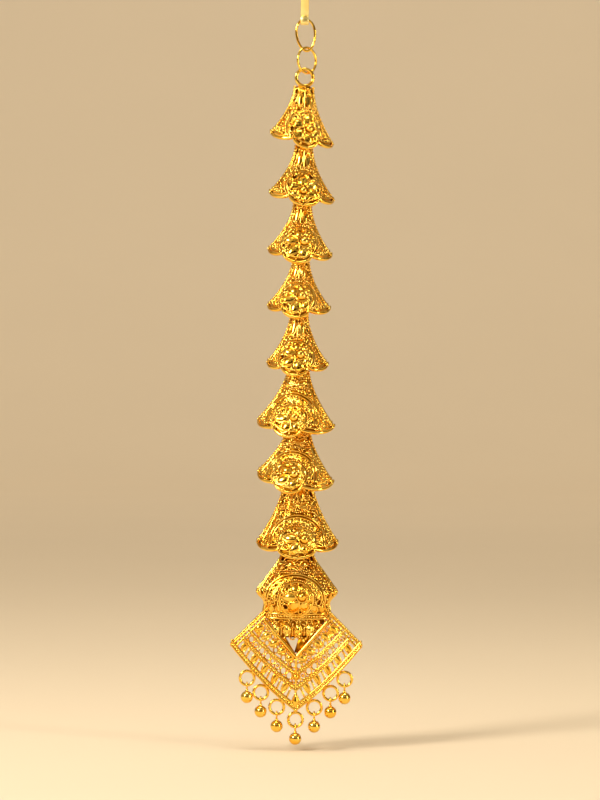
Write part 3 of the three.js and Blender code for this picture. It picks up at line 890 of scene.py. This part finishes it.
def add_edge_band(work, face, depth, side, end, rail_gap, rail, bead):
    """Two rails with a beaded wire between them, over a strap."""
    x = np.linspace(0, end, 40)
    for offset in (-rail_gap, rail_gap):
        add_wire(work, face, face.at(side * x, edge_line(depth + offset, x), FRONT), rail)
    work.strap(face.at(side * x, edge_line(depth, x), 0.0), 1.5 * rail_gap + rail, 0.62)
    work.beads(face.at(side * x, edge_line(depth, x), FRONT + 0.05), bead)


def add_kite_half(work, face, side):
    """One wing of the kite: its border, its bands and the open cells between them."""
    add_edge_band(work, face, BORDER, side, KITE_CORNER_X - 0.4, 0.52, 0.26, 0.28)
    add_edge_band(work, face, BAND_A, side, line_end(BAND_A, UPPER_BAND), 0.4, 0.2, 0.24)
    add_edge_band(work, face, BAND_B, side, line_end(BAND_B, UPPER_BAND), 0.36, 0.19, 0.22)
    # The upper edge: a beaded wire and two rails, with short bars across between the rails.
    top = np.linspace(KITE_TOP_HALF_WIDTH - 0.6, KITE_CORNER_X - 0.25, 24)
    work.beads(face.at(side * top, upper_edge(top, 0.12), FRONT), 0.26)
    work.wire(face.at(side * top, upper_edge(top, 0.45), FRONT), 0.17)
    lower = top[:-2]
    add_wire(work, face, face.at(side * lower, upper_edge(lower, UPPER_BAND), FRONT), 0.2)
    work.strap(face.at(side * top, upper_edge(top, 0.15), 0), 0.6, STRAP)
    work.strap(face.at(side * lower, upper_edge(lower, UPPER_BAND), 0), 0.5, STRAP)
    for x in np.linspace(KITE_TOP_HALF_WIDTH, KITE_CORNER_X - 1.1, 10):
        bar = [[x, upper_edge(x, 0.3)], [x - 0.62, upper_edge(x - 0.62, UPPER_BAND + 0.3)]]
        add_bar(work, face, side, bar, 0.36)
    # The vee: the heaviest wire, from the dome's corners to the middle, and a beaded wire under it.
    shares = np.linspace(0, 1, 16)[:, None]
    vee = np.array([VEE_HALF_WIDTH, VEE_TOP])
    x, depth = (vee + (np.array([0.0, VEE_TIP]) - vee) * shares).T
    path = face.at(side * x, NECK_TOP - depth, FRONT + 0.1)
    add_wire(work, face, path, 0.36, sides=12)
    work.strap(path + [0, 0.45, 0], 0.72, STRAP)
    add_beads(work, face, face.at(side * (x + 0.25), NECK_TOP - depth - 0.55, FRONT), 0.22)
    add_vee_band(work, face, side)
    add_open_band(work, face, side)


def add_bar(work, face, side, ends, width, thickness=0.5, stand=0.12):
    """A straight bar between two places; ends holds their x on the right wing, and their z."""
    ends = np.array([[side * x, z] for x, z in ends])
    places = ends[0] + np.linspace(0, 1, 4)[:, None] * (ends[1] - ends[0])
    work.strap(face.at(places[:, 0], places[:, 1], stand), width, thickness)


def add_cup(work, face, centre, direction, length, width, rise=0.34, stand=FRONT + 0.05):
    """A pointed setting with a thick wire round it, and its own wall behind."""
    direction = np.array(direction) / np.linalg.norm(direction)
    start, end = (np.array(centre) + direction * reach for reach in (-length / 2, length / 2))
    add_leaf(work, face, start, end, width / 2, rise=rise, outline=0.2, stand=stand)


def add_vee_band(work, face, side):
    """Pointed cups that stand square to the vee."""
    arm = np.array([VEE_HALF_WIDTH, VEE_TIP - VEE_TOP])
    arm = arm / np.linalg.norm(arm)
    square = np.array([arm[1], -arm[0]])
    for share in np.linspace(0.08, 0.92, 5):
        x = (1 - share) * (VEE_HALF_WIDTH + 0.9)
        near = np.array([x, NECK_TOP - VEE_TOP - (VEE_TIP - VEE_TOP) * share - 0.3])
        gap = (near[1] - edge_line(BAND_B, x)) / 1.9
        middle = near + square * (gap * 0.52)
        if middle[1] > upper_edge(middle[0], UPPER_BAND + 0.6):
            continue
        place, direction = ([side * pair[0], pair[1]] for pair in (middle, square))
        add_cup(work, face, place, direction, gap * 0.92, 1.45)


def kite_field():
    """Places in the two inner bands of the kite's wings, and round the cups inside the vee."""
    places = []
    slope = (VEE_TIP - VEE_TOP) / VEE_HALF_WIDTH
    for x in np.arange(-11, 11.05, 0.2):
        vee = NECK_TOP - VEE_TIP + abs(x) * slope
        top = min(vee, NECK_TOP - VEE_TOP, upper_edge(x, UPPER_BAND))
        places += [(x, z) for z in np.arange(edge_line(BAND_A, x) + 0.2, top - 0.2, 0.2)]
        places += [(x, z) for z in np.arange(max(vee, WINDOW_TOP), NECK_TOP - VEE_TOP + 0.1, 0.2)]
    return places


def add_open_band(work, face, side):
    """Wide open cells along the border: leaning bars, and a leaf between each and the next."""
    for x in np.arange(1.9, KITE_CORNER_X - 0.9, 2.1):
        lean = 1.02
        inner = np.array([x - lean, edge_line(BAND_A + 0.3, x - lean)])
        outer = np.array([x, edge_line(BORDER - 0.5, x)])
        if inner[1] > upper_edge(inner[0], UPPER_BAND):
            continue
        add_bar(work, face, side, [inner, outer], 0.42, 0.6)
        shift = np.array([0.95, 0.86])
        start, end = inner + shift, outer + shift
        start, end = start - (end - start) * 0.04, end + (end - start) * 0.04
        add_leaf(
            work, face, [side * start[0], start[1]], [side * end[0], end[1]], 0.55,
            rise=0.15, outline=0.18, stand=0.2, belly=0.7,
        )


def add_kite_middle(work, face):
    """The cups and the sheet inside the vee, and the boss and the drop on the middle rib."""
    z = NECK_TOP - 16.55
    for x in (-4.3, -1.95, 0.4, 2.75):
        add_cup(work, face, [x, z], [0, 1], 2.25, 1.35, 0.42, FRONT + 0.1)
        if x > -4:
            work.wire(face.at(x - 1.17, np.linspace(z + 1.0, z - 1.0, 4), FRONT), 0.13)
            work.grains(face.at(x - 1.17, z + 1.2, FRONT), 0.22)
    for side, reach in ((-1, 7.7), (1, 7.2)):
        add_cup(work, face, [side * reach, z - 0.35], [0, 1], 1.7, 1.0, 0.36, FRONT - 0.1)
    work.grains(face.at([1.5, -2.9], [z - 2.15, z - 1.9], FRONT), [0.38, 0.3], POLISHED)
    add_plate(work, face, [(-6.2, 14.2), (6.2, 14.2), (3.0, 18.1), (-3.0, 18.1)])
    add_plate(work, face, [(-3.1, 18.0), (-2.2, 18.0), (-0.4, 20.9), (-0.6, 21.3)])
    add_plate(work, face, [(0.5, 18.0), (3.1, 18.0), (0.5, 21.2), (-0.4, 21.1)])
    rib_z = NECK_TOP - np.linspace(VEE_TIP - 0.2, KITE_TIP - 0.3, 20)
    rib = face.at(0.0, rib_z, FRONT)
    work.wire(rib, 0.2)
    face.take(rib, 0.25)
    work.strap(face.at(0.0, rib_z), 0.5, STRAP)
    boss = (0.05, NECK_TOP - 26.0)
    work.grains(face.at(*boss, FRONT + 0.15), 0.62, POLISHED, BALL)
    x, z = oval(boss, 0.74, 0.74, steps=20)
    work.wire(face.at(x[:-1], z[:-1], FRONT), 0.13, closed=True)
    add_leaf(
        work, face, (0, NECK_TOP - 29.3), (0, NECK_TOP - 32.7), 0.75,
        rise=0.45, belly=1.3, outline=0.14, stand=FRONT + 0.1,
    )


def add_plate(work, face, corners):
    """A thin flat sheet behind the cups."""
    x, z = (np.array([corner[i] for corner in corners], float) for i in range(2))
    loops = [face.at(x, NECK_TOP - z, stand) for stand in (-0.15, 0.0)]
    # The plate takes the darkened recess gold: painted shade behind the cups.
    work.loft(loops, PAINTED_SHADE_RECESS)


def add_drop_rings(work):
    """A ring below each place along the lower edges, and a ball where it joins them."""
    for x in DROP_RING_PLACES:
        edge = KiteFace().at(x, edge_line(KITE_TIP, x))
        outwards = np.array([np.sign(x), 0, -1.0])
        middle = edge + DROP_RING_STAND * outwards / np.linalg.norm(outwards)
        ring = front_ring(DROP_RING_RADIUS, middle, 40)
        work.wire(ring, DROP_RING_WIRE, closed=True, sides=14)
        work.grains([edge], 0.4, POLISHED, BALL)


def add_dome(work):
    """The dome: a rosette in a double arch, a bow at the neck, and a hoop of wires round its foot."""
    face = DomeFace()
    rosette = (-0.1, NECK_TOP - 10.1, 3.4, 3.5)
    face.swells = [(*rosette, DOME_ROSETTE_SWELL)]
    face.open_field(FIELD)
    add_sheet(work, face, np.linspace(0, 1, 36), np.linspace(0.2, 1, 12), dome_loop)
    outer = (-0.4, NECK_TOP - 10.3, 6.1, 5.3)
    add_rosette(work, face, rosette, (1.0, NECK_TOP - 9.5, 0.82), 7, 10)
    add_arch(work, face, rosette, 180)
    add_outer_arch(work, face, rosette, 0.35, outer, 84)
    for x in (-5.45, -3.75, 3.75, 5.45):
        z = NECK_TOP - 12.2
        add_leaf(work, face, (x * 0.96, z + 0.85), (x, z - 0.8), 0.62, rise=0.35, outline=0.16)
    for x in (-2.3, 2.3):
        add_leaf(work, face, (x, NECK_TOP - 12.5), (x * 0.9, NECK_TOP - 13.2), 0.4, outline=0.14)
    add_bow_neck(work, face, NECK_TOP, NECK_TOP - 4.0, 2.1)
    add_crown(work, face, NECK_TOP, (-4.35, -4.75))
    downs = np.linspace(0.02, 0.9, 50)
    for side in (-1, 1):
        work.wire(face.point(side * SIDE_ANGLE, downs, -0.02), SIDE_WIRE, sides=10)
        face.edge(work, side * 72, downs, 0.17, 0.02)
    # The hoop: a beaded wire between two smooth ones.
    for down, smooth_wire in ((0.925, 0.2), (0.96, None), (0.992, 0.22)):
        path = face.point(np.linspace(-SIDE_ANGLE, SIDE_ANGLE, 60), down, 0.05)
        face.take(path, 0.25)
        if smooth_wire:
            work.wire(path, smooth_wire, sides=10)
        else:
            work.beads(path, 0.27)
    face.fill(work)


def add_kite(work):
    """The kite: its two wings, what is inside the vee, and the cells in the bands that are left."""
    face = KiteFace()
    face.open_field(kite_field())
    for side in (-1, 1):
        add_kite_half(work, face, side)
    add_kite_middle(work, face)
    face.fill(work, 0.85, 0.34, FRONT - 0.45)


def make_pendant():
    """The dome, the kite under it, the rings for the drops, and the eye it hangs by."""
    work = Goldwork()
    add_dome(work)
    add_kite(work)
    add_drop_rings(work)
    work.wire(front_ring(EYE_RADIUS), EYE_WIRE, closed=True, sides=12)
    piece("pendant_filigree", work, work.seated("pendant"), PENDANT, "pendant")


def make_drop(name):
    """A polished ball on a shank, with an eye that hangs on its ring."""
    work = Goldwork()
    work.wire(side_ring(DROP_EYE_RADIUS, (0, 0, DROP_EYE_Z), 28), DROP_EYE_WIRE, closed=True, sides=12)
    top = DROP_EYE_Z - DROP_EYE_RADIUS
    shank = [[0, 0, z] for z in np.linspace(top, -BALL_BELOW + 1.0, 6)]
    work.wire(shank, SHANK_RADIUS, sides=14)
    work.grains([[0, 0, -BALL_BELOW + BALL_RADIUS]], 0.34, POLISHED, BALL)
    work.grains([[0, 0, -BALL_BELOW]], BALL_RADIUS, POLISHED, BALL)
    points = np.vstack(work.points)
    low, high = (np.array(corner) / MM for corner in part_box(name))
    middle = (low + high) / 2
    shift = [middle[0], middle[1], high[2] - points[:, 2].max()]
    piece(name + "_polished", work, points + shift, PENDANT, name)


# --- Hook, links and jump rings ------------------------------------------------------------------


def make_hook():
    """A flat strip bent over at the top, with a folded eyelet at the bottom."""
    bend, thickness, width = 2.8, 0.4, 1.7
    eyelet_radius, eyelet_z, eyelet_stretch = 0.62, -12.67, 0.16
    work = Goldwork()
    angles = np.linspace(0, math.pi, 30)
    path = [[0, bend + 0.7, -9.5], [0, bend + 0.45, -7.5], [0, bend + 0.15, -5.0]]
    path += [[0, bend * math.cos(a), bend * math.sin(a) - 2.6] for a in angles]
    path += [[0, -bend, -4.5], [0, -bend, -6.2], [0, -bend + 0.1, -6.9], [0, -1.4, -9.7]]
    path += [[0, -0.25, -11.6], [0, 0.0, -12.05]]
    work.strap(np.array(path), width, thickness, STRIP, (0, -1, 0))
    eyelet = []
    for angle in np.linspace(0, TAU, 36, endpoint=False):
        lift = eyelet_stretch * np.sign(math.sin(angle))
        y, z = eyelet_radius * math.cos(angle), eyelet_radius * math.sin(angle)
        eyelet.append([0, y, eyelet_z + lift + z])
    eyelet = np.array(eyelet)
    outwards = eyelet - eyelet.mean(0)
    outwards /= np.linalg.norm(outwards, axis=1)[:, None]
    # The strip's section, its corners eased: how far out of the eyelet's line, and x.
    section = [
        (-0.14, -0.85), (-0.2, -0.78), (-0.2, 0.78), (-0.14, 0.85),
        (0.14, 0.85), (0.2, 0.78), (0.2, -0.78), (0.14, -0.85),
    ]
    loops = [eyelet + reach * outwards + [x, 0, 0] for reach, x in section]
    work.loft(np.swapaxes(np.array(loops), 0, 1), STRIP, closed=True)
    piece("hair_hook_strip", work, np.vstack(work.points), CHAIN, "hair_hook")


def make_ring(node, path, wire, yaw, roll, sides=16):
    """A closed ring of round wire in its CAD node's place."""
    work = Goldwork()
    work.wire(path, wire, closed=True, sides=sides)
    points = work.points[0] @ turning(yaw, roll).T
    low, high = (np.array(corner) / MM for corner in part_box(node))
    points += (low + high - points.min(0) - points.max(0)) / 2
    piece(node + "_wire", work, points, CHAIN, node)


def long_link_path():
    """A long oval, a little wider at its top."""
    angle = np.linspace(0, TAU, 64, endpoint=False)
    x = (4.3 / 2 - LINK_WIRE) * np.cos(angle) * (1 + 0.14 * np.sin(angle))
    return np.stack([x, 0 * angle, (7.0 / 2 - LINK_WIRE) * np.sin(angle)], axis=1)


def make_jump_rings():
    """One ring between each bell and the next, turned half way between the two."""
    yaws = [row["yaw"] for row in BELLS.values()] + [0]
    for index, lean in enumerate(RING_LEANS):
        yaw = (yaws[index] + yaws[index + 1]) / 2
        path = side_ring(RING_RADIUS, steps=40)
        make_ring(f"ring_{index + 1}", path, EYE_WIRE, yaw, lean, 12)


# --- Finishes ------------------------------------------------------------------------------------


class Signal:
    """A shader socket that can be used in sums."""

    def __init__(self, tree, socket):
        self.tree, self.socket = tree, socket

    def sum(self, operation, first, second):
        """The Math node for one operator."""
        return self.tree.node("ShaderNodeMath", {"operation": operation}, {0: first, 1: second})

    def __add__(self, other):
        return self.sum("ADD", self, other)

    def __sub__(self, other):
        return self.sum("SUBTRACT", self, other)

    def __rsub__(self, other):
        return self.sum("SUBTRACT", other, self)

    def __mul__(self, other):
        return self.sum("MULTIPLY", self, other)

    __radd__, __rmul__ = __add__, __mul__


class ShaderTree:
    """The nodes of one material or of the world."""

    def __init__(self, owner):
        owner.use_nodes = True
        self.nodes, self.links = owner.node_tree.nodes, owner.node_tree.links
        self.nodes.clear()

    def node(self, kind, settings=None, inputs=None, output=0):
        """A node with its settings, then the values or links of its sockets; gives one output."""
        made = self.nodes.new(kind)
        for name, value in (settings or {}).items():
            setattr(made, name, value)
        for socket, value in (inputs or {}).items():
            if isinstance(value, Signal):
                self.links.new(value.socket, made.inputs[socket])
            else:
                made.inputs[socket].default_value = value
        return Signal(self, made.outputs[output]) if made.outputs else None

    def mix(self, factor, first, second):
        """From the first colour at 0 to the second at 1. A Mix node keeps its colours in 6 and 7."""
        settings = {"data_type": "RGBA", "clamp_factor": True}
        return self.node("ShaderNodeMix", settings, {0: factor, 6: first, 7: second}, output=2)

    def steps(self, value, low, high):
        """0 below low and 1 above high."""
        settings = {"interpolation_type": "SMOOTHSTEP"}
        inputs = {"Value": value, "From Min": low, "From Max": high}
        return self.node("ShaderNodeMapRange", settings, inputs)

    def noise(self, place, size, detail=2.0):
        """Noise with lumps of about size, in millimetres."""
        inputs = {"Vector": place, "Scale": 1 / (size * MM), "Detail": detail}
        return self.node("ShaderNodeTexNoise", None, inputs)


def gold(name, bright, deep, roughness, spread, grain, bump):
    """Polished or satin gold: its colour and polish drift, and fine marks catch the light."""
    material = bpy.data.materials.new(name)
    tree = ShaderTree(material)
    place = tree.node("ShaderNodeTexCoord", output="Object")
    cloud = tree.steps(tree.noise(place, 2.6), 0.35, 0.65)
    marks = tree.noise(place, grain, 3.0)
    colour = tree.mix(cloud, (*deep, 1), (*bright, 1))
    polish = roughness + spread * (cloud * 0.5 + marks * 0.5)
    relief = tree.node(
        "ShaderNodeBump", None, {"Strength": bump, "Distance": 0.05 * MM, "Height": marks},
    )
    shader = tree.node("ShaderNodeBsdfPrincipled", None, {
        "Base Color": colour, "Metallic": 1.0, "Roughness": polish, "Normal": relief,
    })
    tree.node("ShaderNodeOutputMaterial", None, {"Surface": shader})
    return material


def plain_paint(name, colour, roughness):
    """The floor and the backdrop: a pale matt surface with a faint drift of tone."""
    material = bpy.data.materials.new(name)
    tree = ShaderTree(material)
    place = tree.node("ShaderNodeTexCoord", output="Object")
    cloud = tree.noise(place, 180.0)
    darker = tuple(0.96 * part for part in colour)
    shader = tree.node("ShaderNodeBsdfPrincipled", None, {
        "Base Color": tree.mix(cloud, (*darker, 1), (*colour, 1)), "Roughness": roughness,
    })
    tree.node("ShaderNodeOutputMaterial", None, {"Surface": shader})
    return material


FINISHES = {
    POLISHED: gold("polished_gold", (1.0, 0.66, 0.12), (0.98, 0.55, 0.06), 0.06, 0.1, 0.5, 0.12),
    BEADED: gold("beaded_gold", (1.0, 0.67, 0.14), (1.0, 0.59, 0.09), 0.13, 0.12, 0.4, 0.2),
    # Painted shade: the recess gold is a darker, deeper amber than the rest, to stand for the shade in
    # the hollows under the cells and behind the cups.
    PAINTED_SHADE_RECESS: gold("recess_painted_shade_gold", (0.50, 0.20, 0.006), (0.33, 0.115, 0.003), 0.26, 0.2, 0.35, 0.5),
    PLAIN: gold("plain_gold", (1.0, 0.62, 0.13), (0.94, 0.53, 0.09), 0.28, 0.14, 0.25, 0.35),
    STRIP: gold("strip_gold", (1.0, 0.86, 0.40), (0.98, 0.80, 0.32), 0.32, 0.12, 0.3, 0.3),
}


def piece(name, work, points, body, node):
    """One shown piece, from its metalwork in millimetres, riding on its body for its CAD node."""
    mesh = bpy.data.meshes.new(name)
    mesh.from_pydata((points * MM).tolist(), [], work.faces)
    used = sorted(set(work.finishes))
    for finish in used:
        mesh.materials.append(FINISHES[finish])
    order = np.array([used.index(finish) for finish in work.finishes], np.int32)
    mesh.polygons.foreach_set("material_index", order)
    mesh.polygons.foreach_set("use_smooth", np.ones(len(order), bool))
    mesh.update()
    made = bpy.data.objects.new(name, mesh)
    bpy.context.scene.collection.objects.link(made)
    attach(made, body)
    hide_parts(node)


make_hook()
make_ring("long_link", long_link_path(), LINK_WIRE, 4, -5)
make_ring("round_link", front_ring(ROUND_LINK_RADIUS, steps=56), LINK_WIRE, 45, 0)
for bell_name, bell_row in BELLS.items():
    make_bell(bell_name, bell_row)
make_jump_rings()
make_pendant()
for number in range(len(DROP_RING_PLACES)):
    make_drop(f"drop_{number + 1}")

# --- Studio --------------------------------------------------------------------------------------


def make_sweep(material):
    """A sheet of paper that lies under the lowest drop and curves up far behind."""
    near_y, bend_y, bend, height, half_width, gap = -3.0, 1.7, 1.3, 5.0, 7, 0.0012
    floor_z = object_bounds()[0].z - gap
    turn = np.linspace(0, math.pi / 2, 24)
    profile = [(near_y, floor_z)]
    profile += [(bend_y + bend * math.sin(a), floor_z + bend * (1 - math.cos(a))) for a in turn]
    profile.append((bend_y + bend, floor_z + height))
    points = [(x, y, z) for y, z in profile for x in (-half_width, half_width)]
    faces = [(2 * i, 2 * i + 1, 2 * i + 3, 2 * i + 2) for i in range(len(profile) - 1)]
    mesh = bpy.data.meshes.new("sweep")
    mesh.from_pydata(points, [], faces)
    mesh.polygons.foreach_set("use_smooth", [True] * len(faces))
    mesh.materials.append(material)
    made = bpy.data.objects.new("sweep", mesh)
    bpy.context.scene.collection.objects.link(made)
    made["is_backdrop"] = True


def soft_box(name, place, aim, size, power, colour):
    """An area light that looks at a point."""
    light = bpy.data.lights.new(name, "AREA")
    light.shape = "RECTANGLE"
    light.size, light.size_y = size
    light.energy = power
    light.color = colour
    made = bpy.data.objects.new(name, light)
    made.location = place
    made.rotation_euler = (Vector(aim) - Vector(place)).to_track_quat("-Z", "Y").to_euler()
    made.visible_camera = False
    bpy.context.scene.collection.objects.link(made)


def make_room():
    """The room for the metal to reflect: warm and bright with dark gaps, the largest at the front.

    The camera sees a plain pale tone where the paper ends.
    """
    low_tone, high_tone = (0.34, 0.26, 0.17, 1), (0.76, 0.69, 0.57, 1)
    dark, pale = (0.02, 0.009, 0.003, 1), (0.74, 0.54, 0.32, 1)
    world = bpy.data.worlds.new("room")
    tree = ShaderTree(world)
    direction = tree.node("ShaderNodeTexCoord", output="Generated")
    right, back, height = (
        tree.node("ShaderNodeSeparateXYZ", None, {0: direction}, output=axis) for axis in "XYZ"
    )
    patches = tree.node("ShaderNodeTexNoise", None, {"Vector": direction, "Scale": 4.2, "Detail": 1.0})
    lit = tree.steps(patches - 0.08 * right + 0.06 * height, 0.45, 0.55)
    open_front = tree.steps(back, -0.985, -0.93)
    bright = tree.mix(tree.steps(height, -0.3, 0.6), low_tone, high_tone)
    colour = tree.mix(lit * open_front, dark, bright)
    seen = tree.node("ShaderNodeLightPath", output="Is Camera Ray")
    colour = tree.mix(seen, colour, pale)
    background = tree.node("ShaderNodeBackground", None, {"Color": colour, "Strength": 1.0})
    tree.node("ShaderNodeOutputWorld", None, {"Surface": background})
    bpy.context.scene.world = world


def make_studio():
    """Pale paper, a key light on the left, a fill on the right, a top light, and one for the paper."""
    make_sweep(plain_paint("pale_paper", (0.82, 0.67, 0.47), 0.75))
    low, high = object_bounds()
    middle = (low + high) / 2
    warm, cream = (1.0, 0.92, 0.78), (1.0, 0.96, 0.88)
    soft_box("key", (-0.42, -0.38, 0.22), middle, (0.14, 0.2), 3.6, cream)
    soft_box("fill", (0.5, -0.3, 0.0), middle, (0.06, 0.3), 1.2, warm)
    soft_box("top", (0.0, -0.05, 0.42), middle, (0.24, 0.12), 1.3, cream)
    soft_box("wall_wash", (0.0, 0.9, 1.9), (0, 3, 0.9), (3.0, 0.6), 27.0, cream)


def make_camera():
    """Straight in front, a little over the middle, and leaning as the piece hangs."""
    distance, height_seen, middle_z, lean = 0.6, 0.164, -0.0905, math.radians(0.7)
    camera_data = bpy.data.cameras.new("camera")
    camera = bpy.data.objects.new("camera", camera_data)
    bpy.context.scene.collection.objects.link(camera)
    camera_data.sensor_width = 36
    camera_data.lens = camera_data.sensor_width * distance / height_seen
    camera_data.clip_start, camera_data.clip_end = 0.01, 50
    camera.location = (0, -distance, middle_z)
    camera.rotation_euler = (math.pi / 2, 0, 0)
    camera.rotation_euler.rotate_axis("Z", lean)
    bpy.context.scene.camera = camera
    bpy.context.scene.view_settings.view_transform = "Standard"


make_room()
make_studio()
make_camera()
